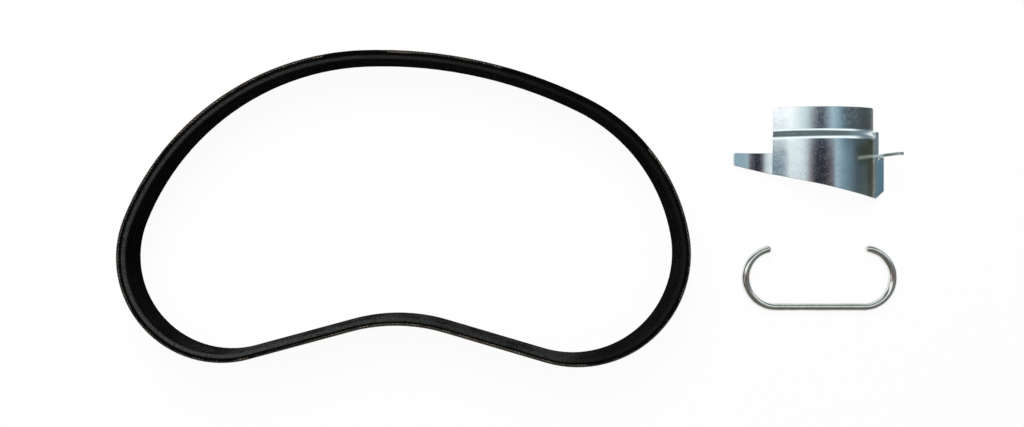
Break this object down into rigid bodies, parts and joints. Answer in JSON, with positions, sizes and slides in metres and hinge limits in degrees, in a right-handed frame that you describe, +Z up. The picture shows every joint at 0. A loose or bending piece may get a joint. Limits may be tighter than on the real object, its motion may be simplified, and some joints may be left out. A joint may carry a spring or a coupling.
{
  "type": "ribbed drive belt set",
  "caption": "Ribbed stretch drive belt lying on its edge in a curved loop, with a pressed steel fitting tool that walks it onto a pulley and a bent-wire clip.",
  "frame": {"origin": "under the middle of the whole set, on the surface it lies on", "axes": "+X along the set, from the belt towards the tool and the clip; +Y across it, towards the belt's crown; +Z up from the surface"},
  "size_m": [0.4004, 0.1588, 0.0214],
  "materials": {
    "back_rubber": "matt, fabric faced",
    "cord_yarn": "twisted yarn",
    "gum_rubber": "matt",
    "rib_rubber": "ground, with short fibres",
    "zinc_sheet": "bright zinc plate, blue passivated",
    "bright_wire": "bright plate"
  },
  "bodies": {
    "belt": {"back_cover": "back_rubber", "tension_cord": "cord_yarn", "cord_gum": "gum_rubber", "rib_rubber": "rib_rubber"},
    "tool": {"fitting_tool": "zinc_sheet"},
    "clip": {"wire_clip": "bright_wire"}
  },
  "joints": [
    {"name": "tool_lift", "type": "slide", "parent": "belt", "child": "tool", "axis": [0, 0, 1], "range_m": [0, 0.1]},
    {"name": "clip_lift", "type": "slide", "parent": "belt", "child": "clip", "axis": [0, 0, 1], "range_m": [0, 0.1]}
  ]
}
